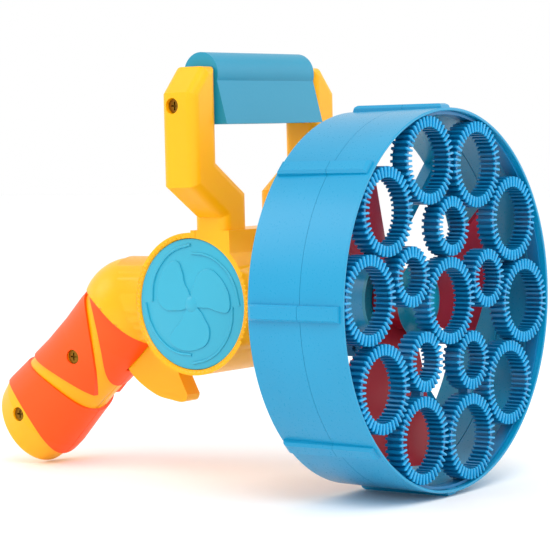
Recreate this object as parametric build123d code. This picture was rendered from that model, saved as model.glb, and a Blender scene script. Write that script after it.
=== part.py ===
from build123d import *
import os
from math import cos, hypot, radians, sin, tau

# Hand-held bubble machine: a finned ring plate and a fan in a drum, on a pistol grip with a carrying handle.
#
# Every piece is drawn in the drum's frame: Y runs back along the drum's axis from the front rim, X points to
# the right seen from the front, and Z is up. seat() then moves it to the base frame, which has its origin on
# the surface that the toy stands on, under the middle of its length.

# ---- driving dimensions, in millimetres and degrees ----
STAND_HEIGHT = 81.8      # drum axis above the surface it stands on
OVERALL_LENGTH = 245.0   # front rim to the back of the grip

RIM_R = 80.0             # drum, outside, at the front rim
DRUM_BACK_R = 79.2       # drum, outside, at the back edge
DRUM_DEPTH = 47.0
SEAM_Y = 21.0            # where the front and rear shells meet
DRUM_WALL = 1.2
LAP = 3.0                # length of the tongue that joins the shells
RIB_COUNT = 8
RIB_WIDTH = 6.6
RIB_SLOPE = 2.2

RING_COUNT = 10          # outer ring of bubble rings
RING_PITCH_R = 60.3
RING_TIP_R = 18.2
SMALL_PITCH_R = 31.0
SMALL_TIP_R = 12.5
RING_FIRST_ANGLE = 32.0  # first outer ring, from +X towards +Z
FIN_LENGTH = 1.7         # how far a fin stands off the ring's wall
RING_WALL = 1.2
RING_FRONT_Y = 1.0
RING_DEPTH = 7.0
LARGE_FINS = 42
SMALL_FINS = 28
HOOP_R = 78.6            # outside of the hoop round the rings

BLADE_COUNT = 3
BLADE_TIP_R = 70.0
BLADE_FIRST_ANGLE = 8.0
BLADE_THICK = 1.6
FAN_HUB_R = 13.0
FAN_HUB_Y = 17.0          # front of the fan's hub
SPINNER_R = 16.0
SHAFT_R = 1.5
SHAFT_GAP = 0.05         # running clearance round the shaft

POD_R = 17.6             # motor pod in the middle of the drum's back
POD_FRONT_Y = 33.5
POD_BACK_Y = 50.0
SPOKE_WIDTH = 3.6
FLANGE_R = 25.0
FLANGE_THICK = 3.0
FLANGE_SCREW_R = 21.6
FLANGE_SCREW_ANGLES = (0, 90, 180, 270)
LID_SCREW_R = 13.9
LID_SCREW_ANGLES = (90, 270)

MOTOR_R = 12.0
MOTOR_FRONT_Y = 37.0
MOTOR_LENGTH = 26.0

HOUSING_Y = 113.0        # centre of the round housing, which lies along X
HOUSING_Z = -2.0
HOUSING_R = 31.0
HOUSING_HALF = 32.0
DISC_R = 28.5
DISC_THICK = 2.6
BODY_WALL = 2.4
THROAT_R = 20.5

BODY_Z = -4.0            # axis of the part of the body between the housing and the grip
BODY_R = 20.5
KNUCKLE_Y = 172.0        # centre of the knuckle above the grip
KNUCKLE_Z = -7.5
KNUCKLE_R = 23.4

GRIP_Y = 179.0           # start of the grip's axis
GRIP_Z = -13.5
GRIP_ANGLE = 42.0        # below the horizontal
GRIP_BASE_R = 20.0
PAD_THICK = 1.2
GRIP_END = 77.0          # length of the grip along its axis
GRIP_END_SLOPE = 0.28    # how much shorter the grip is per millimetre towards the back of the hand
GRIP_BORE_R = 16.4
GRIP_CORE_R = 20.3       # end cap inside the lowest pad
CAP_START = 56.0         # where the end cap begins inside the lowest pad
CAP_SPIGOT_R = 18.2
CAP_SPIGOT_END = 65.8
CAP_R = 20.2
CAP_ROUND = 3.0

ARM_FRONT_Y = 93.0
ARM_BACK_Y = 111.0
ARM_OUT_X = 52.5
ARM_IN_X = 35.5
ARM_TOP_Z = 100.0
ARM_ROUND = 4.2
PEDESTAL_Z = 30.0
SOCKET_DEPTH = 3.2       # how far an arm's foot sits in the pedestal

COVER_HALF = 35.2
COVER_TOP_Z = 106.3
COVER_BOTTOM_Z = 75.5
COVER_Y = 102.0
COVER_WALL = 2.4
BAR_Y = 104.5            # bar between the handle's arms
BAR_Z = 83.5
BAR_HALF_Y = 6.0
BAR_HALF_Z = 8.0

TRIGGER_HALF = 4.5       # half of the trigger's thickness
TRIGGER_GAP = 0.6
PIVOT_Y = 141.0
PIVOT_Z = -16.0
PIVOT_R = 1.5
PLUNGER_ARM = 12.0       # switch plunger's distance behind the pivot
PLUNGER_R = 1.2
PLUNGER_FOOT_Z = -18.3
SPRING_ARM = 22.0        # trigger spring's distance behind the pivot

CELL_R = 7.2             # AA cell
CELL_LENGTH = 50.0
CELL_START = 13.0        # along the grip's axis
PLATE_R = 17.2           # contact plate above the cells
PLATE_START = 9.3
PLATE_THICK = 2.0
LEDGE_START = 68.0       # ledge in the end cap under the lower plate

SCREW_HEAD_R = 3.0
SCREW_HEAD_H = 2.2
SCREW_SHANK_R = 1.4
SCREW_HOLE_R = 3.35
HANDLE_HEAD_X = -50.5    # outer face of a handle screw's head
GRIP_SCREW_S = 20.3      # screw in the middle pad, along the grip and back of its axis
GRIP_SCREW_BACK = -2.5
CAP_SCREW_S = 63.7
CAP_SCREW_BACK = -1.1
WIRE_R = 0.7

# Edges of the grip's orange pads in its side view: (distance down the grip, height above its axis).
PAD_UPPER = (((-3.4, 18.0), (-9.0, 4.0), (-10.0, -9.0), (-12.0, -26.0)),
             ((-3.4, 18.0), (-3.5, 3.7), (8.5, -12.0), (21.5, -20.0), (28.0, -26.0)))
PAD_MIDDLE = (((3.4, 26.0), (1.5, 3.7), (13.0, -10.0), (31.0, -18.4)),
              ((48.0, 26.0), (36.0, 3.0), (32.0, -8.0), (31.0, -18.4)))
PAD_LOWER = (((54.0, 26.0), (42.0, 4.0), (38.8, -9.0), (43.0, -26.0)),
             ((71.5, 26.0), (59.5, 6.0), (61.5, -10.0), (77.0, -26.0)))
BODY_EDGE = ((8.0, 34.0), (-3.4, 18.0), (-9.0, 4.0), (-10.0, -9.0), (-12.0, -30.0))
BEYOND = ((120.0, 34.0), (120.0, -30.0))

HALF_STEP = 360 / RING_COUNT / 2
DRUM_AXIS = Axis((0, 0, 0), (0, 1, 0))


def seat(shape):
    """Move a piece from the drum's frame to the base frame."""
    return Pos(0, -OVERALL_LENGTH / 2, STAND_HEIGHT) * shape


def along_y(radius, start, end, x=0.0, z=0.0):
    """A round bar along Y."""
    return Pos(x, (start + end) / 2, z) * Rot(90, 0, 0) * Cylinder(radius, end - start)


def along_x(radius, start, end, y, z):
    """A round bar along X."""
    return Pos((start + end) / 2, y, z) * Rot(0, 90, 0) * Cylinder(radius, end - start)


def block(x0, x1, y0, y1, z0, z1):
    """A box between two corners."""
    middle = Pos((x0 + x1) / 2, (y0 + y1) / 2, (z0 + z1) / 2)
    return middle * Box(x1 - x0, y1 - y0, z1 - z0)


def turned(points):
    """A solid of revolution about the drum's axis, from (radius, y) points."""
    profile = make_face(Polyline([(r, y) for r, y in points], close=True))
    return revolve(Plane.XY * profile, axis=DRUM_AXIS)


def polar(radius, angle):
    """The (x, z) place at a radius and an angle from +X towards +Z."""
    return radius * cos(radians(angle)), radius * sin(radians(angle))


def around(shape, angle):
    """Turn a shape drawn on +X about the drum's axis, towards +Z."""
    return Rot(0, -angle, 0) * shape


def left_of(shape):
    """The part of a shape on the -X side."""
    return shape & block(-100, 0, -50, 300, -150, 150)


def mirrored(shape):
    """The same piece for the +X side."""
    return mirror(shape, about=Plane.YZ)


# ---- drum ----
def outer_wall_r(y):
    """Outside radius of the tapered drum wall."""
    return RIM_R + (DRUM_BACK_R - RIM_R) * y / DRUM_DEPTH


def drum_rib(start, end):
    """One rounded rib on +X, from start to end along the drum, with sloped ends."""
    top = STAND_HEIGHT
    root = DRUM_BACK_R - DRUM_WALL / 2
    side = make_face(Polyline(
        (root, start), (top - 0.6, start + RIB_SLOPE * 0.4), (top, start + RIB_SLOPE),
        (top, end - RIB_SLOPE), (top - 0.6, end - RIB_SLOPE * 0.4), (root, end), close=True))
    rib = extrude(Plane.XY * side, RIB_WIDTH / 2, both=True)
    crown = Plane.XZ * make_face(Polyline(
        (root, -RIB_WIDTH / 2), (top - 1.2, -RIB_WIDTH / 2), (top, -RIB_WIDTH / 2 + 0.9),
        (top, RIB_WIDTH / 2 - 0.9), (top - 1.2, RIB_WIDTH / 2), (root, RIB_WIDTH / 2), close=True))
    return rib & extrude(crown, -DRUM_DEPTH - 5)


def drum_ribs(y0, y1):
    """All ribs, cut to the stretch from y0 to y1."""
    rib = drum_rib(1.2, DRUM_DEPTH - 1.0) & block(0, 100, y0, y1, -20, 20)
    return [around(rib, 360 / RIB_COUNT * i) for i in range(RIB_COUNT)]


def make_front_shell():
    """The front half of the drum wall, with a tongue at its back and a ledge behind the ring plate."""
    inner = RIM_R - DRUM_WALL
    tongue = inner - 0.9
    ledge_y = RING_FRONT_Y + RING_DEPTH
    wall = turned([
        (inner, 0.3), (inner + 0.3, 0), (RIM_R - 0.3, 0), (RIM_R, 0.3), (outer_wall_r(SEAM_Y), SEAM_Y),
        (inner - 0.2, SEAM_Y), (inner - 0.2, SEAM_Y + LAP), (tongue, SEAM_Y + LAP), (tongue, ledge_y + 1.2),
        (tongue - 0.7, ledge_y + 1.2), (tongue - 0.7, ledge_y), (inner, ledge_y)])
    return wall + drum_ribs(-1, SEAM_Y)


def make_rear_shell():
    """The back half of the drum wall, with four spokes that carry the motor pod and its flange."""
    inner = DRUM_BACK_R - DRUM_WALL - 0.3
    start = SEAM_Y + 0.15
    lap_r = RIM_R - DRUM_WALL - 0.1
    wall = turned([
        (lap_r, start), (outer_wall_r(start), start), (DRUM_BACK_R, DRUM_DEPTH - 0.3),
        (DRUM_BACK_R - 0.3, DRUM_DEPTH), (inner, DRUM_DEPTH), (inner, SEAM_Y + LAP + 0.2),
        (lap_r, SEAM_Y + LAP + 0.2)])
    spoke = block(POD_R - 1, inner + 0.6, DRUM_DEPTH - 5.5, DRUM_DEPTH, -SPOKE_WIDTH / 2, SPOKE_WIDTH / 2)
    spokes = [around(spoke, 45 + 90 * i) for i in range(4)]
    pod = along_y(POD_R, POD_FRONT_Y, POD_BACK_Y) - along_y(POD_R - 2, POD_FRONT_Y - 1, POD_BACK_Y + 5)
    flange = along_y(FLANGE_R, POD_BACK_Y, POD_BACK_Y + FLANGE_THICK)
    flange = flange - along_y(POD_R - 2, POD_BACK_Y - 1, POD_BACK_Y + 5)
    shell = wall + spokes + pod + flange + drum_ribs(start, DRUM_DEPTH)
    for angle in FLANGE_SCREW_ANGLES:
        x, z = polar(FLANGE_SCREW_R, angle)
        shell = shell - along_y(SCREW_SHANK_R, POD_BACK_Y - 1, POD_BACK_Y + 5, x, z)
    for angle in LID_SCREW_ANGLES:
        x, z = polar(LID_SCREW_R, angle)
        boss = along_y(2.2, POD_FRONT_Y + 2, POD_FRONT_Y + 10, x, z)
        shell = shell + (boss - along_y(0.9, POD_FRONT_Y, POD_FRONT_Y + 9, x, z))
        shell = shell - along_y(0.9, POD_FRONT_Y, POD_FRONT_Y + 9, x, z)
    return shell


# ---- ring plate ----
def toothed_outline(tip, root, fins):
    """A wheel outline whose fins are a little narrower than the gaps between them."""
    step = tau / fins
    points = []
    for i in range(fins):
        middle = i * step
        for radius, share in ((root, -0.27), (tip, -0.19), (tip, 0.19), (root, 0.27)):
            angle = middle + share * step
            points.append((radius * cos(angle), radius * sin(angle)))
    return make_face(Polyline(points, close=True))


def bubble_ring(tip, fins):
    """The flat section of one ring: a wall with fins inside and outside."""
    wall_out = tip - FIN_LENGTH
    wall_in = wall_out - RING_WALL
    inner_tip = wall_in - FIN_LENGTH
    return toothed_outline(tip, wall_out, fins) - toothed_outline(inner_tip, wall_in, fins)


def web(place_a, place_b, inset_a, inset_b):
    """A flat bridge between two ring walls."""
    (xa, za), (xb, zb) = place_a, place_b
    length = hypot(xb - xa, zb - za)
    run = length - inset_a - inset_b
    middle = (inset_a + run / 2) / length
    angle = Vector(1, 0, 0).get_signed_angle(Vector(xb - xa, zb - za, 0), Vector(0, 0, 1))
    return Pos(xa + (xb - xa) * middle, za + (zb - za) * middle) * Rot(0, 0, angle) * Rectangle(run, 2.4)


def ring_places():
    """Centres of the rings: the outer circle, the inner circle and the middle."""
    outer = [polar(RING_PITCH_R, RING_FIRST_ANGLE + 360 / RING_COUNT * i) for i in range(RING_COUNT)]
    small = [polar(SMALL_PITCH_R, RING_FIRST_ANGLE - HALF_STEP + 72 * i) for i in range(5)]
    return outer, small, (0.0, 0.0)


def front_sheet(section, start, depth):
    """Extrude a front-view section (x, z) from start towards the back."""
    plane = Plane(origin=(0, start, 0), x_dir=(1, 0, 0), z_dir=(0, -1, 0))
    return extrude(plane * section, -depth)


def make_ring_plate():
    """Sixteen finned rings, bridged to one another and to a thin hoop."""
    outer, small, middle = ring_places()
    large_section = bubble_ring(RING_TIP_R, LARGE_FINS)
    small_section = bubble_ring(SMALL_TIP_R, SMALL_FINS)
    large_wall = RING_TIP_R - FIN_LENGTH - 0.3
    small_wall = SMALL_TIP_R - FIN_LENGTH - 0.3
    bridges = []
    for i, place in enumerate(outer):
        bridges.append(web(place, outer[(i + 1) % RING_COUNT], large_wall, large_wall))
        x, z = place
        rim = (x * HOOP_R / RING_PITCH_R, z * HOOP_R / RING_PITCH_R)
        bridges.append(web(place, rim, large_wall, 0.6))
    for i, place in enumerate(small):
        bridges.append(web(middle, place, large_wall, small_wall))
        bridges.append(web(place, outer[(2 * i) % RING_COUNT], small_wall, large_wall))
        bridges.append(web(place, outer[(2 * i - 1) % RING_COUNT], small_wall, large_wall))
    plate = front_sheet(Circle(HOOP_R) - Circle(HOOP_R - 1.3), RING_FRONT_Y + 1.5, RING_DEPTH - 1.5)
    plate = plate + front_sheet(Sketch() + bridges, RING_FRONT_Y + 1.5, RING_DEPTH - 2.5)
    large = front_sheet(large_section, RING_FRONT_Y, RING_DEPTH)
    small_ring = front_sheet(small_section, RING_FRONT_Y, RING_DEPTH)
    rings = [Pos(x, 0, z) * large for x, z in outer + [middle]]
    rings += [Pos(x, 0, z) * small_ring for x, z in small]
    return plate + rings


# ---- fan ----
def blade():
    """One broad pitched blade along +X, rounded at its tip."""
    centre_y = 24.4
    sections = []
    for radius, chord, pitch in ((FAN_HUB_R - 2, 13, 46), (38, 44, 20), (BLADE_TIP_R + 4, 76, 12)):
        plane = Plane(origin=(radius, centre_y, 0), x_dir=(0, 0, 1), z_dir=(1, 0, 0))
        sections.append(plane * (Rot(0, 0, pitch) * Rectangle(chord, BLADE_THICK)))
    sheet = loft(sections)
    paddle = Pos(42, 0) * Ellipse(40, 36)
    lobe = (paddle & Circle(BLADE_TIP_R)) + Pos(18, 0) * Rectangle(24, 18)
    return sheet & front_sheet(lobe, 5, 40)


def make_fan():
    """Hub with three blades, bored for the motor shaft."""
    hub = along_y(FAN_HUB_R, FAN_HUB_Y, 31.5) - along_y(FAN_HUB_R - 3, 16, 24)
    blades = [around(blade(), BLADE_FIRST_ANGLE + 360 / BLADE_COUNT * i) for i in range(BLADE_COUNT)]
    return hub + blades - along_y(SHAFT_R, 5, 40)


def make_spinner():
    """Domed cap on the front of the fan, held by a plug in the fan's hub."""
    rise = 6.6
    cap_r = (SPINNER_R ** 2 + rise ** 2) / (2 * rise)
    dome = Pos(0, FAN_HUB_Y - rise + cap_r, 0) * Sphere(cap_r) & block(-50, 50, -50, FAN_HUB_Y, -50, 50)
    plug = along_y(FAN_HUB_R - 3.05, FAN_HUB_Y, 22.5)
    return dome + plug - along_y(FAN_HUB_R - 5, FAN_HUB_Y + 1, 23)


def make_shaft():
    """Motor shaft: through the motor and pressed into the fan."""
    return along_y(SHAFT_R, 24, MOTOR_FRONT_Y + MOTOR_LENGTH + 3)


# ---- motor ----
def make_motor_can():
    """Steel can with two flats, a front boss and a bore for the shaft."""
    back = MOTOR_FRONT_Y + MOTOR_LENGTH - 3
    can = along_y(MOTOR_R, MOTOR_FRONT_Y, back) & block(-50, 50, 0, 100, -9.5, 9.5)
    can = can + along_y(3.2, MOTOR_FRONT_Y - 1.4, MOTOR_FRONT_Y)
    return can - along_y(SHAFT_R + SHAFT_GAP, 30, 70)


def make_motor_end():
    """Plastic end of the motor."""
    back = MOTOR_FRONT_Y + MOTOR_LENGTH
    end = along_y(MOTOR_R - 0.3, back - 3, back) & block(-50, 50, 0, 100, -9.2, 9.2)
    return end - along_y(SHAFT_R + SHAFT_GAP, 30, 70)


def make_motor_terminals():
    """Two brass tags on the motor's end."""
    back = MOTOR_FRONT_Y + MOTOR_LENGTH
    return Part() + [block(x - 1.2, x + 1.2, back, back + 3.5, -0.2, 0.2) for x in (-7.5, 7.5)]


def make_motor_clamp():
    """Ring that centres the motor in the pod."""
    ring = along_y(POD_R - 2.05, 44, 48) - along_y(MOTOR_R, 43, 49)
    filler = along_y(MOTOR_R + 0.5, 44, 48) - block(-50, 50, 0, 100, -9.5, 9.5)
    return ring + filler


def make_pod_lid():
    """Front lid of the motor pod, with a hole for the shaft and two screw holes."""
    lid = along_y(POD_R, POD_FRONT_Y - 1.5, POD_FRONT_Y) + along_y(POD_R - 2.1, POD_FRONT_Y, POD_FRONT_Y + 2)
    lid = lid - along_y(3.25, 30, 40)
    for angle in LID_SCREW_ANGLES:
        x, z = polar(LID_SCREW_R, angle)
        lid = lid - along_y(SCREW_SHANK_R, 30, 40, x, z)
    return lid


# ---- body ----
def grip_plane(along=0.0):
    """Side-view plane of the grip: its x runs down the grip's axis and its y to the back of the hand."""
    c, s = cos(radians(GRIP_ANGLE)), sin(radians(GRIP_ANGLE))
    return Plane(origin=(0, GRIP_Y + along * c, GRIP_Z - along * s), x_dir=(0, c, -s), z_dir=(1, 0, 0))


def grip_turned(points):
    """A solid of revolution about the grip's axis, from (distance along it, radius) points."""
    plane = grip_plane()
    profile = make_face(Polyline(points + [(points[-1][0], 0), (points[0][0], 0)], close=True))
    return revolve(plane * profile, axis=Axis(plane.origin, plane.x_dir))


def grip_point(along, side=0.0, back=0.0):
    """A place on the grip: distance down its axis, to the side, and towards the back of the hand."""
    plane = grip_plane()
    return plane.origin + plane.x_dir * along + plane.y_dir * back + Vector(side, 0, 0)


def grip_bar(radius, start, end, side=0.0, back=0.0):
    """A round bar along the grip."""
    plane = Plane(origin=grip_point(start, side, back), z_dir=grip_plane().x_dir)
    return extrude(plane * Circle(radius), end - start)


def grip_radius(offset=0.0):
    """Outside of the padded grip as (distance along, radius) points, less an offset."""
    shape = ((-14, 21.2), (4, 21.4), (18, 20.6), (34, 20.6), (50, 21.6), (64, 22.6), (74, 22.2))
    return [(s, r - offset) for s, r in shape]


def side_sheet(section, half):
    """Extrude a side-view section (y, z) both ways along X."""
    plane = Plane(origin=(0, 0, 0), x_dir=(0, 1, 0), z_dir=(1, 0, 0))
    return extrude(plane * section, half, both=True)


def body_solid(inset=0.0):
    """The body's outer form in front of the grip, shrunk by inset: throat, housing, neck and knuckle."""
    throat = along_y(THROAT_R - inset, POD_BACK_Y + FLANGE_THICK, HOUSING_Y)
    half = HOUSING_HALF - 2 * inset
    housing = along_x(HOUSING_R - inset, -half, half, HOUSING_Y, HOUSING_Z)
    neck = along_y(BODY_R - inset, HOUSING_Y, KNUCKLE_Y, z=BODY_Z)
    knuckle = Pos(0, KNUCKLE_Y, KNUCKLE_Z) * Sphere(KNUCKLE_R - inset)
    return throat + housing + neck + knuckle


def grip_side(inset=0.0):
    """Everything on the grip's side of the body's last edge."""
    edge = [(s - inset, back) for s, back in BODY_EDGE]
    return extrude(grip_plane() * make_face([Spline(*edge), Polyline(edge[-1], BEYOND[1], BEYOND[0], edge[0])]), 60,
                   both=True)


def trigger_slot():
    """The slot in the underside of the body that the trigger moves in."""
    section = make_face(Polyline(
        (133, -8), (133, -52), (139, -50), (147.5, -49.5), (155, -48), (162.3, -44.8), (168.3, -40.9),
        (173.2, -36.2), (179, -27), (179, -17), (160, -12.5), (148, -10), (146, -8), close=True))
    return side_sheet(section, TRIGGER_HALF + TRIGGER_GAP)


def body_bosses():
    """Inside both halves: pillars for the screws, the trigger's pin, the switch and the trigger's spring."""
    pillars = along_x(4.2, -26, 26, HOUSING_Y - 14, HOUSING_Z + 20)
    pillars = pillars + along_x(4.2, -26, 26, HOUSING_Y - 14, HOUSING_Z - 20)
    pin = along_x(3.6, -BODY_R, BODY_R, PIVOT_Y, PIVOT_Z)
    pin = pin - block(-TRIGGER_HALF - 0.3, TRIGGER_HALF + 0.3, 130, 150, -30, 0)
    arm_y = PIVOT_Y + PLUNGER_ARM
    shelf = block(-20, 20, arm_y - 3, arm_y + 3, -15.5, -9.5) - block(-3.2, 3.2, 140, 165, -20, 0)
    seat_y = PIVOT_Y + SPRING_ARM
    spring_seat = block(-20, 20, seat_y - 3.5, seat_y + 3.5, -8, -6)
    return pillars + pin + shelf + spring_seat


def body_whole():
    """Both halves of the body together, hollow, before they are parted."""
    core = (body_solid() - grip_side()) + grip_turned(grip_radius(PAD_THICK))
    cut_off = Plane(origin=grip_point(CAP_START), z_dir=grip_plane().x_dir)
    core = core - extrude(cut_off * Rectangle(90, 90), 60)
    core = core + grip_bar(CAP_SPIGOT_R, CAP_START - 5, CAP_SPIGOT_END)
    core = core + along_y(FLANGE_R, POD_BACK_Y + FLANGE_THICK, POD_BACK_Y + 2 * FLANGE_THICK)
    core = core + block(-33, 33, ARM_FRONT_Y - 1.5, ARM_BACK_Y + 1.5, 12, PEDESTAL_Z)
    cavity = (body_solid(BODY_WALL) - grip_side(BODY_WALL)) + grip_bar(GRIP_BORE_R, -14, GRIP_END)
    cavity = cavity + along_y(THROAT_R - BODY_WALL, 40, POD_BACK_Y + 8)
    cavity = cavity + grip_bar(PLATE_R, PLATE_START, PLATE_START + PLATE_THICK)
    return core - cavity + (body_bosses() & body_solid(0.5))


def cut_features(shell):
    """Cut the disc seats, the trigger's slot and pin, the arms' sockets and the screw holes."""
    for side in (-1, 1):
        face = side * HOUSING_HALF
        shell = shell - along_x(DISC_R + 0.2, min(face, face - side * DISC_THICK), max(face, face - side * DISC_THICK),
                                HOUSING_Y, HOUSING_Z)
        socket = block(-32, -15.5, ARM_FRONT_Y + 1, ARM_BACK_Y - 1, PEDESTAL_Z - SOCKET_DEPTH, PEDESTAL_Z + 1)
        shell = shell - (socket if side < 0 else mirrored(socket))
    shell = shell - trigger_slot() - along_x(PIVOT_R, -9.5, 9.5, PIVOT_Y, PIVOT_Z)
    for angle in FLANGE_SCREW_ANGLES:
        x, z = polar(FLANGE_SCREW_R, angle)
        shell = shell - along_y(SCREW_SHANK_R, POD_BACK_Y, POD_BACK_Y + 9, x, z)
    for y, z, head_x, end_x in body_screw_places():
        shell = shell - along_x(SCREW_SHANK_R, head_x - 1, end_x, y, z)
        shell = shell - along_x(SCREW_HOLE_R, -40, head_x + SCREW_HEAD_H, y, z)
    return shell - along_x(SCREW_SHANK_R, -20, -10, *grip_yz(CAP_SCREW_S, CAP_SCREW_BACK))


def grip_yz(along, back):
    """The (y, z) of a place in the grip's side view."""
    place = grip_point(along, 0, back)
    return place.Y, place.Z


def body_screw_places():
    """Where the body's screws go: y, z, the x of the head's outer face and the x of the tip."""
    grip_y, grip_z = grip_yz(GRIP_SCREW_S, GRIP_SCREW_BACK)
    return [
        (HOUSING_Y - 14, HOUSING_Z + 20, -24.0, 8.0),
        (HOUSING_Y - 14, HOUSING_Z - 20, -24.0, 8.0),
        (grip_y, grip_z, -19.4, -16.2),
    ]


def cross_screw(y, z, head_x, end_x):
    """A pan-head screw along X with a crossed recess, head to the left."""
    screw = along_x(SCREW_HEAD_R, head_x, head_x + SCREW_HEAD_H, y, z)
    screw = screw + along_x(SCREW_SHANK_R, head_x + 1, end_x, y, z)
    recess = block(head_x - 1, head_x + 1.2, y - 1.8, y + 1.8, z - 0.35, z + 0.35)
    return screw - recess - block(head_x - 1, head_x + 1.2, y - 0.35, y + 0.35, z - 1.8, z + 1.8)


def facing_screw(angle, radius, head_y, end_y):
    """A screw along Y, head to the back, at an angle about the drum's axis."""
    x, z = polar(radius, angle)
    screw = along_y(2.2, head_y - 1.4, head_y, x, z) + along_y(SCREW_SHANK_R, end_y, head_y - 0.5, x, z)
    return screw - block(x - 1.4, x + 1.4, head_y - 0.8, head_y + 1, z - 0.3, z + 0.3)


def make_disc():
    """Round cover on the left of the housing, with a raised fan emblem and four wind sweeps."""
    face_x = -HOUSING_HALF + 0.5
    disc = along_x(DISC_R, face_x, face_x + DISC_THICK - 0.5, HOUSING_Y, HOUSING_Z)
    plane = Plane(origin=(face_x, HOUSING_Y, HOUSING_Z), x_dir=(0, -1, 0), z_dir=(-1, 0, 0))
    petal = make_face([
        Spline((0, 3), (-3.2, 9), (-3, 16), (2, 20.2), (10, 18.5), (15, 12), (13.5, 7)),
        Line((13.5, 7), (3, 0)), Line((3, 0), (0, 3))])
    sweep_edge = make_face([
        ThreePointArc((0, 25.6), (18.6, 17.2), (23.8, 0)), Line((23.8, 0), (22.6, 0)),
        ThreePointArc((22.6, 0), (17.5, 16.2), (0, 24.4)), Line((0, 24.4), (0, 25.6))])
    emblem = Sketch() + [Rot(0, 0, 120 * i) * petal for i in range(3)] + Circle(3.6)
    sweeps = Sketch() + [Rot(0, 0, 90 * i) * sweep_edge for i in range(4)]
    return disc + extrude(plane * emblem, 0.5) + extrude(plane * sweeps, 0.5)


# ---- handle ----
def make_arm():
    """Left handle arm: a rounded bar that stands on the housing and takes the end of the grip bar."""
    outline = make_face(Polyline(
        (-31.9, PEDESTAL_Z - SOCKET_DEPTH), (-31.9, 35.5), (-ARM_OUT_X, 49.0), (-ARM_OUT_X, 89.0), (-42.5, ARM_TOP_Z),
        (-ARM_IN_X, ARM_TOP_Z), (-ARM_IN_X, 59.5), (-15.6, 46.0), (-15.6, PEDESTAL_Z - SOCKET_DEPTH), close=True))
    arm = front_sheet(outline, ARM_FRONT_Y, ARM_BACK_Y - ARM_FRONT_Y)
    rounded = [e for e in arm.edges().filter_by(Axis.Y, reverse=True) if e.center().Z > PEDESTAL_Z - SOCKET_DEPTH + 0.1]
    arm = fillet(rounded, ARM_ROUND)
    foot = block(-31.9, -15.6, ARM_FRONT_Y + 1.1, ARM_BACK_Y - 1.1, PEDESTAL_Z - SOCKET_DEPTH, PEDESTAL_Z)
    arm = (arm & block(-80, 0, 0, 200, PEDESTAL_Z, 200)) + foot
    pocket = block(-ARM_IN_X - 9, -ARM_IN_X + 1, BAR_Y - 6.05, BAR_Y + 6.05, BAR_Z - 8.05, BAR_Z + 8.05)
    arm = arm - pocket - along_x(SCREW_HOLE_R, -ARM_OUT_X - 1, HANDLE_HEAD_X + SCREW_HEAD_H, BAR_Y, BAR_Z)
    return arm - along_x(SCREW_SHANK_R, -ARM_OUT_X, -ARM_IN_X, BAR_Y, BAR_Z)


def make_handle_bar():
    """Bar between the arms, under the palm cover, with a screw hole in each end."""
    half = ARM_IN_X + 9
    bar = block(-half, half, BAR_Y - BAR_HALF_Y, BAR_Y + BAR_HALF_Y, BAR_Z - BAR_HALF_Z, BAR_Z + BAR_HALF_Z)
    bar = chamfer(bar.edges().filter_by(Axis.X), 1.5)
    hole = along_x(SCREW_SHANK_R, -half - 1, -half + 12, BAR_Y, BAR_Z)
    return bar - hole - mirrored(hole)


def cover_profile(inset):
    """Side view of the palm cover: a saddle that is narrower at the top."""
    foot = 13.4 - inset
    shoulder = 8.6 - inset * 0.9
    left, right = COVER_Y - shoulder, COVER_Y + shoulder
    return make_face([
        ThreePointArc((left, 94.0), (COVER_Y, COVER_TOP_Z - inset), (right, 94.0)),
        Line((right, 94.0), (COVER_Y + foot, COVER_BOTTOM_Z)),
        Line((COVER_Y + foot, COVER_BOTTOM_Z), (COVER_Y - foot, COVER_BOTTOM_Z)),
        Line((COVER_Y - foot, COVER_BOTTOM_Z), (left, 94.0))])


def make_palm_cover():
    """Hollow saddle over the bar, held by ribs that rest on it."""
    shell = side_sheet(cover_profile(0), COVER_HALF)
    shell = shell - side_sheet(cover_profile(COVER_WALL), COVER_HALF - COVER_WALL)
    inside = COVER_HALF - COVER_WALL
    shell = shell - block(-inside, inside, COVER_Y - 11, COVER_Y + 11, 70, COVER_BOTTOM_Z + COVER_WALL)
    ribs = side_sheet(cover_profile(COVER_WALL - 0.2), 1.0)
    shell = shell + [Pos(x, 0, 0) * ribs for x in (-20, 0, 20)]
    room_y, room_z = BAR_HALF_Y + 0.02, BAR_HALF_Z + 0.02
    return shell - block(-60, 60, BAR_Y - room_y, BAR_Y + room_y, 60, BAR_Z + room_z)


# ---- grip ----
def pad_prism(upper, lower):
    """Side-view prism between two swooping edges."""
    edges = [Spline(*upper), Spline(*lower)]
    for a, b in ((upper[0], lower[0]), (upper[-1], lower[-1])):
        if a != b:
            edges.append(Line(a, b))
    return extrude(grip_plane() * make_face(edges), 40, both=True)


def make_pad(edges):
    """One orange pad on the left side of the grip."""
    skin = grip_turned(grip_radius()) - grip_turned(grip_radius(PAD_THICK))
    skin = skin & block(-100, -0.15, -50, 300, -150, 150)
    pad = skin & pad_prism(*edges)
    pad = (pad & grip_side()) - trigger_slot()
    return pad - along_x(SCREW_HOLE_R, -40, 0, *grip_yz(GRIP_SCREW_S, GRIP_SCREW_BACK))


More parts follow.
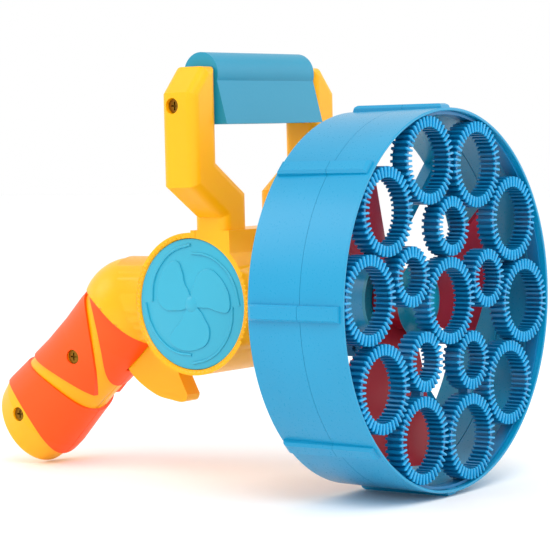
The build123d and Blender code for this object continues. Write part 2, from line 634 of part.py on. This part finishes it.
def make_end_cap():
    """Cap that closes the battery space, with a rounded end; it slides over the body's spigot."""
    form = grip_turned([(CAP_START, 22.3), (64, 22.3), (GRIP_END + 12, CAP_R - 3.0)])
    end_normal = grip_plane().x_dir + grip_plane().y_dir * GRIP_END_SLOPE
    end_face = Plane(origin=grip_point(GRIP_END), z_dir=end_normal)
    form = split(form, bisect_by=end_face, keep=Keep.BOTTOM)
    form = fillet(form.edges().filter_by(GeomType.ELLIPSE), CAP_ROUND)
    below_pad = pad_prism(PAD_LOWER[1], ((110, 26), (110, 10), (110, -10), (110, -26)))
    cap = form & (below_pad + grip_bar(GRIP_CORE_R, CAP_START, GRIP_END))
    cap = cap - grip_bar(CAP_SPIGOT_R + 0.05, CAP_START - 1, CAP_SPIGOT_END + 0.2)
    cap = cap - grip_bar(GRIP_BORE_R, CAP_START, LEDGE_START)
    y, z = grip_yz(CAP_SCREW_S, CAP_SCREW_BACK)
    return cap - along_x(SCREW_HOLE_R, -40, -18.5, y, z) - along_x(SCREW_SHANK_R, -20, -10, y, z)


def make_trigger():
    """Curved trigger on its pivot."""
    outline = make_face([
        Spline((146, -30), (141.7, -38.9), (138.3, -45.5)),
        Spline((138.3, -45.5), (139.4, -48.1), (147, -48.3), (154.3, -47.0), (161.5, -43.8), (167.3, -40.1),
               (172.2, -35.4), (176.5, -27.6)),
        Polyline((176.5, -27.6), (170.0, -21.5), (146.5, -17.5), (PIVOT_Y, PIVOT_Z + 5.5),
                 (PIVOT_Y - 5.5, PIVOT_Z), (138, -24), (146, -30))])
    return side_sheet(outline, TRIGGER_HALF) - along_x(PIVOT_R + SHAFT_GAP, -10, 10, PIVOT_Y, PIVOT_Z)


def make_trigger_pin():
    """Steel pin across the slot."""
    return along_x(PIVOT_R, -9.4, 9.4, PIVOT_Y, PIVOT_Z)


# ---- inside the grip ----
def coil(radius, wire, height, turns):
    """A coil spring standing on the XY plane."""
    path = Helix(height / turns, height, radius)
    return sweep(Plane(origin=path @ 0, z_dir=path % 0) * Circle(wire), path=path)


def make_trigger_spring():
    """Compression spring between the trigger and its seat in the body."""
    height = 11.8
    return Pos(0, PIVOT_Y + SPRING_ARM, -8.0 - height) * coil(2.6, 0.35, height - 0.8, 6)


def make_switch_body():
    """Push switch over the trigger, with two solder tags on top."""
    y = PIVOT_Y + PLUNGER_ARM
    case = block(-3.2, 3.2, y - 6, y + 6, -15.5, -9.5)
    tags = [block(-1, 1, y + k - 0.5, y + k + 0.5, -9.5, -7.5) for k in (-4, 4)]
    return case + tags - Pos(0, y, -13.5) * Cylinder(PLUNGER_R + SHAFT_GAP, 7)


def make_switch_plunger():
    """Round plunger of the switch, resting just above the trigger."""
    top = -12.0
    middle = (PLUNGER_FOOT_Z + top) / 2
    return Pos(0, PIVOT_Y + PLUNGER_ARM, middle) * Cylinder(PLUNGER_R, top - PLUNGER_FOOT_Z)


def cell_places():
    """Offsets (side, back) of the three cells from the grip's axis."""
    spread = CELL_R * 2 / 3 ** 0.5 + 0.15
    return [(spread * cos(radians(a)), spread * sin(radians(a))) for a in (90, 210, 330)]


def make_cell(place, nub_down):
    """One AA cell with its nub at one end."""
    side, back = place
    end = CELL_START + CELL_LENGTH - 1.2
    cell = grip_bar(CELL_R, CELL_START, end, side, back)
    if nub_down:
        return cell + grip_bar(2.6, end, end + 1.2, side, back)
    return cell + grip_bar(2.6, CELL_START - 1.2, CELL_START, side, back)


def make_top_plate():
    """Plate with metal contacts above the cells, held in a groove of the body."""
    plate = grip_bar(PLATE_R - 0.05, PLATE_START, PLATE_START + PLATE_THICK)
    for side, back in cell_places():
        plate = plate + grip_bar(3.4, PLATE_START + PLATE_THICK, PLATE_START + PLATE_THICK + 0.5, side, back)
    return plate


def make_bottom_plate():
    """Plate in the end cap that carries the battery springs."""
    return grip_bar(GRIP_BORE_R - 0.05, LEDGE_START - 2, LEDGE_START)


def make_battery_springs():
    """Three coil springs between the plate in the end cap and the cells."""
    springs = Part()
    base = LEDGE_START - 2
    for side, back in cell_places():
        place = Plane(origin=grip_point(base - 0.4, side, back), z_dir=-grip_plane().x_dir)
        springs = springs + [place * coil(4.2, 0.4, base - 0.9 - (CELL_START + CELL_LENGTH), 2)]
    return springs


# ---- wires ----
def wire(points, bend):
    """An insulated wire with rounded bends."""
    path = FilletPolyline(*points, radius=bend)
    return sweep(Plane(origin=path @ 0, z_dir=path % 0) * Circle(WIRE_R), path=path)


def make_wires():
    """Battery to motor, switch to motor, and battery to switch."""
    tag_y = MOTOR_FRONT_Y + MOTOR_LENGTH + 3.5 + WIRE_R
    switch_y = PIVOT_Y + PLUNGER_ARM
    tag_z = -7.4
    far = grip_point(PLATE_START - 0.1, -7.5, 7)
    near = grip_point(PLATE_START - 0.1, 2, 0)
    down = grip_plane().x_dir
    motor_wire = wire([(-7.5, tag_y, 0), (-7.5, 150, 1), far - down * 16, far], 9)
    switch_wire = wire([(7.5, tag_y, 0), (7.5, 132, 0), (0, switch_y - 4, 2), (0, switch_y - 4, tag_z)], 3)
    battery_wire = wire([(0, switch_y + 4, tag_z), (0, switch_y + 4, 1), near - down * 16, near], 3)
    return motor_wire, switch_wire, battery_wire


def main():
    os.makedirs("parts", exist_ok=True)
    body = cut_features(body_whole())
    disc = make_disc()
    arm = make_arm()
    pads = {"upper": make_pad(PAD_UPPER), "middle": make_pad(PAD_MIDDLE), "lower": make_pad(PAD_LOWER)}
    cells = cell_places()
    motor_wire, switch_wire, battery_wire = make_wires()
    arm_screw = cross_screw(BAR_Y, BAR_Z, HANDLE_HEAD_X, -ARM_IN_X)
    cap_y, cap_z = grip_yz(CAP_SCREW_S, CAP_SCREW_BACK)
    pieces = {
        "drum_front_shell": make_front_shell(),
        "drum_rear_shell": make_rear_shell(),
        "ring_plate": make_ring_plate(),
        "fan": make_fan(),
        "fan_spinner": make_spinner(),
        "motor_shaft": make_shaft(),
        "motor_can": make_motor_can(),
        "motor_end": make_motor_end(),
        "motor_terminals": make_motor_terminals(),
        "motor_clamp": make_motor_clamp(),
        "pod_lid": make_pod_lid(),
        "body_left": left_of(body),
        "body_right": body & block(0, 100, -50, 300, -150, 150),
        "side_disc_left": disc,
        "side_disc_right": mirrored(disc),
        "handle_arm_left": arm,
        "handle_arm_right": mirrored(arm),
        "handle_bar": make_handle_bar(),
        "palm_cover": make_palm_cover(),
        "grip_end_cap": make_end_cap(),
        "trigger": make_trigger(),
        "trigger_pin": make_trigger_pin(),
        "trigger_spring": make_trigger_spring(),
        "switch_body": make_switch_body(),
        "switch_plunger": make_switch_plunger(),
        "battery_top_plate": make_top_plate(),
        "battery_bottom_plate": make_bottom_plate(),
        "battery_springs": make_battery_springs(),
        "battery_cell_1": make_cell(cells[0], False),
        "battery_cell_2": make_cell(cells[1], True),
        "battery_cell_3": make_cell(cells[2], False),
        "motor_wire": motor_wire,
        "switch_wire": switch_wire,
        "battery_wire": battery_wire,
        "handle_screws": arm_screw + mirrored(arm_screw),
        "body_screws": Part() + [cross_screw(*place) for place in body_screw_places()],
        "cap_screw": cross_screw(cap_y, cap_z, -20.7, -16.6),
    }
    for side, pad in pads.items():
        pieces[f"grip_pad_{side}_left"] = pad
        pieces[f"grip_pad_{side}_right"] = mirrored(pad)
    for name, piece in pieces.items():
        export_step(seat(piece), f"parts/{name}.step")


main()
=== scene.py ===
import math

import bpy
from mathutils import Matrix, Vector


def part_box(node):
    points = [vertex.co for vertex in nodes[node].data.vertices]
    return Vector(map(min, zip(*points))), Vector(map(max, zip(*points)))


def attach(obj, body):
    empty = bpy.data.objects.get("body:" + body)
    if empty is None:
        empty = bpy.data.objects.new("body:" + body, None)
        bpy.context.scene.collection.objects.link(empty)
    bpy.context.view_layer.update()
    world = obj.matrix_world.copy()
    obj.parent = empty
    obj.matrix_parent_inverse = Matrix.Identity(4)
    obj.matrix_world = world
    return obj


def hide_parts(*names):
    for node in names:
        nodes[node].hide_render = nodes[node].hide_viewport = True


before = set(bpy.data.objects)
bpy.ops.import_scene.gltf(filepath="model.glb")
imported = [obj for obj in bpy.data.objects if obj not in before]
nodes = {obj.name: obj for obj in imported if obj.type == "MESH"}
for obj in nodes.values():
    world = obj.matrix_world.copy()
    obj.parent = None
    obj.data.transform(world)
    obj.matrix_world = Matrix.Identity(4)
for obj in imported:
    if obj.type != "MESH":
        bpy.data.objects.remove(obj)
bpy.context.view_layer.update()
MM = 0.001

# The drum's axis in the row frame, in metres: its front rim lies at y = DRUM_FRONT_Y.
DRUM_FRONT_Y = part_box("drum_front_shell")[0].y
DRUM_AXIS_Z = 81.8 * MM

# Sizes below are in millimetres and angles in degrees. Y is measured back from the drum's front rim.
# The ring plate has two sizes of ring, with fins inside and outside each ring's wall.
RING_COUNT = 10
RING_PITCH_R = 60.3
RING_FIRST_ANGLE = 32
SMALL_PITCH_R = 31.0
SMALL_COUNT = 5
SMALL_FIRST_ANGLE = 14
LARGE_RING = {"inner": 13.6, "tip": 18.2, "fins": 42, "width": 1.0}
SMALL_RING = {"inner": 7.9, "tip": 12.5, "fins": 28, "width": 1.0}
FIN_FRONT_Y = 0.1
FIN_BACK_Y = 1.6
FIN_ROUND = 0.42

# The discs on the two sides of the round housing.
DISC_R = 28.5
DISC_THICK = 2.1
DISC_FACE_X = -31.5
DISC_Y = 113
DISC_Z = -2
DISC_ROUND = 0.4
BLADE_COUNT = 3
BLADE_FIRST_TURN = 57    # of a petal that is drawn upright
PETAL_HALF_HEIGHT = 0.35
PETAL_ROUND = 0.35
SWEEP_COUNT = 4
SWEEP_KNOTS = 5
SWEEP_START_R = 25.9
SWEEP_STEP_R = 0.93
SWEEP_STEP_ANGLE = 22
SWEEP_WIRE_R = 0.6
HUB_R = 3.7


# ---- material helpers ----
FLOW_MM = 38.0           # length of a cloud in the pigment
FLOW_TINT = 0.18
METAL_MOTTLE_MM = 0.35   # real plating grain is finer; this is as fine as shows


def srgb(code):
    """A linear colour from an sRGB hex code."""
    channels = [int(code[i:i + 2], 16) / 255 for i in (1, 3, 5)]
    linear = [c / 12.92 if c <= 0.04045 else ((c + 0.055) / 1.055) ** 2.4 for c in channels]
    return (*linear, 1.0)


def add_node(material, kind, inputs=None, links=None, **settings):
    """Add a shader node from its properties, its socket values and the sockets to join to it."""
    tree = material.node_tree
    node = tree.nodes.new(kind)
    for name, value in settings.items():
        setattr(node, name, value)
    for name, value in (inputs or {}).items():
        node.inputs[name].default_value = value
    for name, socket in (links or {}).items():
        tree.links.new(socket, node.inputs[name])
    return node


def blank(name):
    """A new node material with only its shader and output."""
    material = bpy.data.materials.new(name)
    material.use_nodes = True
    shader = material.node_tree.nodes["Principled BSDF"]
    return material, shader


def moulded_plastic(name, colour, shade, roughness, grain_mm=0.9, grain=0.05, scatter=0.0,
                    specular=0.5):
    """Moulded plastic: even pigment with a faint cloudy flow, and a fine skin that softens gloss."""
    material, shader = blank(name)
    tree = material.node_tree
    place = add_node(material, "ShaderNodeTexCoord")
    flow = add_node(material, "ShaderNodeTexNoise",
                    {"Scale": 1000 / FLOW_MM, "Detail": 2.0, "Roughness": 0.5},
                    {"Vector": place.outputs["Object"]})
    level = add_node(material, "ShaderNodeMapRange",
                     {"From Min": 0.35, "From Max": 0.65, "To Min": 0.0, "To Max": FLOW_TINT},
                     {"Value": flow.outputs["Fac"]})
    pigment = add_node(material, "ShaderNodeMix", {"A": srgb(colour), "B": srgb(shade)},
                       {"Factor": level.outputs["Result"]}, data_type="RGBA")
    tree.links.new(pigment.outputs["Result"], shader.inputs["Base Color"])
    skin = add_node(material, "ShaderNodeTexNoise",
                    {"Scale": 1000 / grain_mm, "Detail": 3.0, "Roughness": 0.6},
                    {"Vector": place.outputs["Object"]})
    gloss = add_node(material, "ShaderNodeMapRange",
                     {"From Min": 0.3, "From Max": 0.7,
                      "To Min": roughness - 0.04, "To Max": roughness + 0.05},
                     {"Value": skin.outputs["Fac"]})
    tree.links.new(gloss.outputs["Result"], shader.inputs["Roughness"])
    bump = add_node(material, "ShaderNodeBump", {"Strength": grain, "Distance": 0.1 * MM},
                    {"Height": skin.outputs["Fac"]})
    tree.links.new(bump.outputs["Normal"], shader.inputs["Normal"])
    shader.inputs["IOR"].default_value = 1.5
    shader.inputs["Specular IOR Level"].default_value = specular
    shader.inputs["Subsurface Weight"].default_value = scatter
    shader.inputs["Subsurface Radius"].default_value = (1.0, 0.6, 0.3)
    shader.inputs["Subsurface Scale"].default_value = 2.0 * MM
    return material


def bright_metal(name, colour, dark, roughness):
    """Drawn or plated metal, with a fine mottle that spreads the gloss."""
    material, shader = blank(name)
    tree = material.node_tree
    place = add_node(material, "ShaderNodeTexCoord")
    mottle = add_node(material, "ShaderNodeTexNoise", {"Scale": 1000 / METAL_MOTTLE_MM, "Detail": 3.0},
                      {"Vector": place.outputs["Object"]})
    tone = add_node(material, "ShaderNodeMix", {"A": srgb(colour), "B": srgb(dark)},
                    {"Factor": mottle.outputs["Fac"]}, data_type="RGBA")
    tree.links.new(tone.outputs["Result"], shader.inputs["Base Color"])
    rough = add_node(material, "ShaderNodeMapRange",
                     {"To Min": roughness - 0.08, "To Max": roughness + 0.1},
                     {"Value": mottle.outputs["Fac"]})
    tree.links.new(rough.outputs["Result"], shader.inputs["Roughness"])
    shader.inputs["Metallic"].default_value = 1.0
    return material


# Opaque blue ABS, smooth from the mould. The ring plate is set deeper than the drum, painted shade
# between the fins, and its fin fronts lighter, a painted highlight, so that the narrow fins read apart
# from the walls behind them.
drum_blue = moulded_plastic("drum_blue_abs", "#0092BF", "#0082AC", 0.3)
ring_blue_painted_shade = moulded_plastic("ring_blue_abs", "#0075A8", "#006898", 0.36)
# The fin fronts' lighter blue is a painted highlight on the ring plate's plastic.
fin_blue_painted_highlight = moulded_plastic("fin_front_blue_abs", "#1AA2D8", "#1494C8", 0.3)
cover_blue = moulded_plastic("cover_blue_abs", "#0A8EB0", "#0884A4", 0.42)
disc_blue = moulded_plastic("disc_blue_abs", "#2CA8C6", "#269EBC", 0.36)
fan_red = moulded_plastic("fan_red_abs", "#B81428", "#9C0C1E", 0.38)
spinner_teal = moulded_plastic("spinner_teal_abs", "#0A8FA8", "#067A92", 0.3)
# Yellow ABS lets a little light in, which softens its shaded sides. The pads are a soft elastomer.
body_yellow = moulded_plastic("body_yellow_abs", "#FFB400", "#FFA600", 0.33, scatter=0.25,
                              specular=0.35)
pad_orange = moulded_plastic("pad_orange_elastomer", "#FF5400", "#F84A00", 0.42, grain_mm=0.6,
                             grain=0.1, specular=0.35)
# Inner works: nylon, black ABS, film sleeves on the cells and vinyl on the wires.
white_nylon = moulded_plastic("white_nylon", "#E8E6DE", "#DCD8CC", 0.5)
black_abs = moulded_plastic("black_abs", "#1B1B1D", "#242427", 0.45)
cell_jacket = moulded_plastic("cell_sleeve_film", "#2A2D33", "#202328", 0.3)
red_vinyl = moulded_plastic("red_vinyl_insulation", "#C01818", "#A81010", 0.4)
black_vinyl = moulded_plastic("black_vinyl_insulation", "#181818", "#202020", 0.4)
yellow_vinyl = moulded_plastic("yellow_vinyl_insulation", "#E0B010", "#D0A008", 0.4)
# Yellow-passivated zinc on the screws, plain steel elsewhere.
yellow_zinc = bright_metal("yellow_zinc_plated_steel", "#9A7228", "#7A5418", 0.42)
plain_steel = bright_metal("ground_steel", "#C9CCD0", "#A9ADB3", 0.3)
spring_steel = bright_metal("spring_steel_wire", "#BFC1C4", "#9A9DA2", 0.25)
can_steel = bright_metal("nickel_plated_can", "#C4C6C8", "#A0A3A8", 0.28)
brass = bright_metal("stamped_brass", "#D8B056", "#B88C38", 0.32)

finish_of = {
    "drum_front_shell": drum_blue,
    "drum_rear_shell": drum_blue,
    # The ring plate's deeper blue is painted shade between its fins.
    "ring_plate": ring_blue_painted_shade,
    "fan": fan_red,
    "fan_spinner": spinner_teal,
    "pod_lid": spinner_teal,
    "motor_shaft": plain_steel,
    "motor_can": can_steel,
    "motor_end": white_nylon,
    "motor_terminals": brass,
    "motor_clamp": white_nylon,
    "side_disc_left": disc_blue,
    "side_disc_right": disc_blue,
    "palm_cover": cover_blue,
    "handle_bar": cover_blue,
    "body_left": body_yellow,
    "body_right": body_yellow,
    "handle_arm_left": body_yellow,
    "handle_arm_right": body_yellow,
    "grip_end_cap": body_yellow,
    "trigger": body_yellow,
    "trigger_pin": plain_steel,
    "trigger_spring": spring_steel,
    "switch_body": black_abs,
    "switch_plunger": white_nylon,
    "battery_top_plate": black_abs,
    "battery_bottom_plate": black_abs,
    "battery_springs": spring_steel,
    "battery_cell_1": cell_jacket,
    "battery_cell_2": cell_jacket,
    "battery_cell_3": cell_jacket,
    "motor_wire": black_vinyl,
    "switch_wire": red_vinyl,
    "battery_wire": yellow_vinyl,
    "handle_screws": yellow_zinc,
    "body_screws": yellow_zinc,
    "cap_screw": yellow_zinc,
}
for name, node in nodes.items():
    finish = pad_orange if name.startswith("grip_pad") else finish_of[name]
    node.data.materials.clear()
    node.data.materials.append(finish)


# ---- rounded fronts of the ring plate's fins ----
def nothing_selected():
    for item in bpy.context.selected_objects:
        item.select_set(False)


def fin_circle(inner, tip, fins, width):
    """A circle of round-edged bars about the Y axis, modelled once and spun."""
    nothing_selected()
    middle = ((inner + tip) / 2 * MM, (FIN_FRONT_Y + FIN_BACK_Y) / 2 * MM, 0)
    size = ((tip - inner) * MM, (FIN_BACK_Y - FIN_FRONT_Y) * MM, width * MM)
    bpy.ops.mesh.primitive_cube_add(size=1, location=middle, scale=size)
    bpy.ops.object.transform_apply(location=True, rotation=True, scale=True)
    bpy.ops.object.mode_set(mode="EDIT")
    bpy.ops.mesh.select_all(action="SELECT")
    bpy.ops.mesh.bevel(offset=FIN_ROUND * MM, segments=2, affect="EDGES")
    bpy.ops.mesh.select_all(action="SELECT")
    bpy.ops.mesh.spin(steps=fins - 1, dupli=True, angle=math.tau * (fins - 1) / fins,
                      center=(0, 0, 0), axis=(0, 1, 0))
    bpy.ops.object.mode_set(mode="OBJECT")
    return bpy.context.object


def ring_copy(circle, radius, angle):
    """A copy of a circle of fins at a place on the ring plate."""
    ring = circle.copy()
    ring.data = circle.data.copy()
    turn = math.radians(angle)
    place = Vector((radius * math.cos(turn) * MM, 0, radius * math.sin(turn) * MM))
    ring.location = place + Vector((0, DRUM_FRONT_Y, DRUM_AXIS_Z))
    bpy.context.scene.collection.objects.link(ring)
    return ring


def make_fin_fronts():
    """The rounded fin fronts of all sixteen rings, as one piece."""
    large = fin_circle(**LARGE_RING)
    small = fin_circle(**SMALL_RING)
    rings = [ring_copy(large, 0, 0)]
    for i in range(RING_COUNT):
        rings.append(ring_copy(large, RING_PITCH_R, RING_FIRST_ANGLE + 360 / RING_COUNT * i))
    for i in range(SMALL_COUNT):
        rings.append(ring_copy(small, SMALL_PITCH_R, SMALL_FIRST_ANGLE + 360 / SMALL_COUNT * i))
    for start in (large, small):
        bpy.data.objects.remove(start)
    nothing_selected()
    for ring in rings:
        ring.select_set(True)
    bpy.context.view_layer.objects.active = rings[0]
    bpy.ops.object.join()
    bpy.ops.object.transform_apply(location=True, rotation=True, scale=True)
    bpy.ops.object.shade_smooth_by_angle(angle=math.radians(50))
    fronts = bpy.context.object
    fronts.name = "ring_fin_fronts"
    # The fronts take the lighter blue, a painted highlight.
    fronts.data.materials.append(fin_blue_painted_highlight)
    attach(fronts, "base")


make_fin_fronts()


# ---- body halves, trimmed flush beside the discs ----
def trimmed_body(name, side):
    """A copy of a body half without the thin step that stands out over its disc."""
    nothing_selected()
    source = nodes[name]
    body = source.copy()
    body.data = source.data.copy()
    body.name = name + "_trimmed"
    body.parent = None
    bpy.context.scene.collection.objects.link(body)
    body.select_set(True)
    bpy.context.view_layer.objects.active = body
    bpy.ops.object.mode_set(mode="EDIT")
    bpy.ops.mesh.select_all(action="SELECT")
    bpy.ops.mesh.remove_doubles(threshold=0.001 * MM)
    bpy.ops.object.mode_set(mode="OBJECT")
    step_middle = (side * 32.995 * MM, DRUM_FRONT_Y + 102 * MM, DRUM_AXIS_Z + 21 * MM)
    nothing_selected()
    bpy.ops.mesh.primitive_cube_add(size=1, location=step_middle, scale=(2.01 * MM, 30 * MM, 30 * MM))
    cutter = bpy.context.object
    trim = body.modifiers.new("trim", "BOOLEAN")
    trim.operation = "DIFFERENCE"
    trim.solver = "EXACT"
    trim.object = cutter
    nothing_selected()
    body.select_set(True)
    bpy.context.view_layer.objects.active = body
    bpy.ops.object.modifier_apply(modifier=trim.name)
    bpy.data.objects.remove(cutter)
    bpy.ops.object.shade_smooth_by_angle(angle=math.radians(30))
    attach(body, "base")
    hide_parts(name)


trimmed_body("body_left", -1)
trimmed_body("body_right", 1)


# ---- side discs, with their fan emblem and wind sweeps ----
def raised_outline(points):
    """A closed flat form with rounded edges, on the XY plane, from (x, y) points."""
    curve = bpy.data.curves.new("petal", "CURVE")
    curve.dimensions = "2D"
    curve.fill_mode = "BOTH"
    curve.extrude = PETAL_HALF_HEIGHT * MM
    curve.bevel_depth = PETAL_ROUND * MM
    curve.bevel_resolution = 2
    curve.offset = -PETAL_ROUND * MM
    spline = curve.splines.new("BEZIER")
    spline.bezier_points.add(len(points) - 1)
    spline.use_cyclic_u = True
    for knot, (x, y) in zip(spline.bezier_points, points):
        knot.co = (x * MM, y * MM, 0)
        knot.handle_left_type = "AUTO"
        knot.handle_right_type = "AUTO"
    return bpy.data.objects.new("petal", curve)


def wind_sweep(start_angle):
    """A quarter-turn ridge that spirals in towards the disc's middle."""
    curve = bpy.data.curves.new("sweep", "CURVE")
    curve.dimensions = "3D"
    curve.bevel_depth = SWEEP_WIRE_R * MM
    curve.bevel_resolution = 3
    curve.use_fill_caps = True
    spline = curve.splines.new("BEZIER")
    spline.bezier_points.add(SWEEP_KNOTS - 1)
    for i, knot in enumerate(spline.bezier_points):
        turn = math.radians(start_angle + SWEEP_STEP_ANGLE * i)
        radius = SWEEP_START_R - SWEEP_STEP_R * i
        knot.co = (radius * math.cos(turn) * MM, radius * math.sin(turn) * MM, 0.1 * MM)
        knot.handle_left_type = "AUTO"
        knot.handle_right_type = "AUTO"
    return bpy.data.objects.new("sweep", curve)


PETAL = [(-4.6, 2.4), (0, 0), (4, 4.5), (5.5, 7.5), (9.5, 12), (11.5, 16.5), (7, 20), (1, 20.5),
         (-4.5, 19.2), (-8.8, 16.5), (-10.2, 11), (-7.5, 6)]


def face_disc():
    """The left disc with its raised forms, drawn face up on the XY plane and then stood in place."""
    nothing_selected()
    bpy.ops.mesh.primitive_cylinder_add(vertices=128, radius=DISC_R * MM, depth=DISC_THICK * MM,
                                        location=(0, 0, -DISC_THICK / 2 * MM))
    disc = bpy.context.object
    bpy.ops.object.transform_apply(location=True, rotation=True, scale=True)
    bpy.ops.object.mode_set(mode="EDIT")
    bpy.ops.mesh.select_all(action="SELECT")
    bpy.ops.mesh.bevel(offset=DISC_ROUND * MM, segments=2, affect="EDGES")
    bpy.ops.object.mode_set(mode="OBJECT")
    bpy.ops.mesh.primitive_uv_sphere_add(segments=48, ring_count=16, radius=HUB_R * MM,
                                         scale=(1, 1, 0.4))
    forms = [bpy.context.object]
    for i in range(BLADE_COUNT):
        petal = raised_outline(PETAL)
        petal.rotation_euler.z = math.radians(BLADE_FIRST_TURN + 360 / BLADE_COUNT * i)
        forms.append(petal)
    forms += [wind_sweep(360 / SWEEP_COUNT * i) for i in range(SWEEP_COUNT)]
    for form in forms[1:]:
        bpy.context.scene.collection.objects.link(form)
    for form in forms:
        form.select_set(True)
    bpy.context.view_layer.objects.active = forms[1]
    bpy.ops.object.convert(target="MESH")
    disc.select_set(True)
    bpy.context.view_layer.objects.active = disc
    bpy.ops.object.join()
    disc.matrix_world = Matrix((
        (0, 0, -1, DISC_FACE_X * MM), (-1, 0, 0, DRUM_FRONT_Y + DISC_Y * MM),
        (0, 1, 0, DRUM_AXIS_Z + DISC_Z * MM), (0, 0, 0, 1)))
    bpy.ops.object.transform_apply(location=True, rotation=True, scale=True)
    bpy.ops.object.shade_smooth_by_angle(angle=math.radians(40))
    disc.name = "disc_face_left"
    return disc


def finish_disc(disc, node):
    """Give a disc its plastic and put it in place of its CAD node."""
    disc.data.materials.clear()
    disc.data.materials.append(disc_blue)
    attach(disc, "base")
    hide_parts(node)


def make_discs():
    """The left disc and its mirror image on the right."""
    left = face_disc()
    right = left.copy()
    right.data = left.data.copy()
    right.name = "disc_face_right"
    right.scale = (-1, 1, 1)
    bpy.context.scene.collection.objects.link(right)
    nothing_selected()
    right.select_set(True)
    bpy.context.view_layer.objects.active = right
    bpy.ops.object.transform_apply(location=True, rotation=True, scale=True)
    bpy.ops.object.mode_set(mode="EDIT")
    bpy.ops.mesh.select_all(action="SELECT")
    bpy.ops.mesh.normals_make_consistent(inside=False)
    bpy.ops.object.mode_set(mode="OBJECT")
    finish_disc(left, "side_disc_left")
    finish_disc(right, "side_disc_right")


make_discs()


# ---- stage, light and camera ----
def make_floor():
    """A plain matt white floor."""
    bpy.ops.mesh.primitive_plane_add(size=8, location=(0, 0, 0))
    floor = bpy.context.object
    floor.name = "floor"
    floor.data.materials.append(moulded_plastic("floor_matt_white", "#FFFFFF", "#FFFFFF", 0.8))


def area_light(name, place, aim, size, power):
    """A soft square lamp at a place, pointed at a target."""
    light = bpy.data.lights.new(name, "AREA")
    light.size = size
    light.energy = power
    lamp = bpy.data.objects.new(name, light)
    lamp.location = place
    lamp.rotation_euler = (Vector(aim) - Vector(place)).to_track_quat("-Z", "Y").to_euler()
    bpy.context.scene.collection.objects.link(lamp)


def make_lights():
    """A white room with three soft lamps: the key in front on the left, a fill and a rim lamp."""
    world = bpy.data.worlds.new("studio")
    bpy.context.scene.world = world
    world.use_nodes = True
    sky = world.node_tree.nodes["Background"]
    sky.inputs["Color"].default_value = (1, 1, 1, 1)
    sky.inputs["Strength"].default_value = 1.0
    aim = (0, 0, 0.09)
    area_light("key", (-0.9, -0.9, 1.3), aim, 0.9, 12)
    area_light("fill", (1.2, -1.0, 0.6), aim, 1.0, 3)
    area_light("rim", (-0.7, 1.0, 0.9), aim, 0.8, 4)


def make_camera():
    """A long lens, low on the toy's left and front."""
    turn, rise, roll = math.radians(-53.66), math.radians(3.47), math.radians(-1.34)
    back = Vector((math.sin(turn) * math.cos(rise), -math.cos(turn) * math.cos(rise), math.sin(rise)))
    right = Vector((math.cos(turn), math.sin(turn), 0))
    up = back.cross(right)
    level, plumb = right, up
    right = level * math.cos(roll) + plumb * math.sin(roll)
    up = plumb * math.cos(roll) - level * math.sin(roll)
    drum = Vector((0, DRUM_FRONT_Y, DRUM_AXIS_Z))
    data = bpy.data.cameras.new("camera")
    data.lens = 151.1
    camera = bpy.data.objects.new("camera", data)
    place = drum + back * 0.958 - right * 0.0737 + up * 0.0106
    camera.matrix_world = Matrix.Translation(place) @ Matrix((right, up, back)).transposed().to_4x4()
    bpy.context.scene.collection.objects.link(camera)
    bpy.context.scene.camera = camera


make_floor()
make_lights()
make_camera()
scene = bpy.context.scene
scene.view_settings.view_transform = "Standard"
scene.view_settings.look = "None"
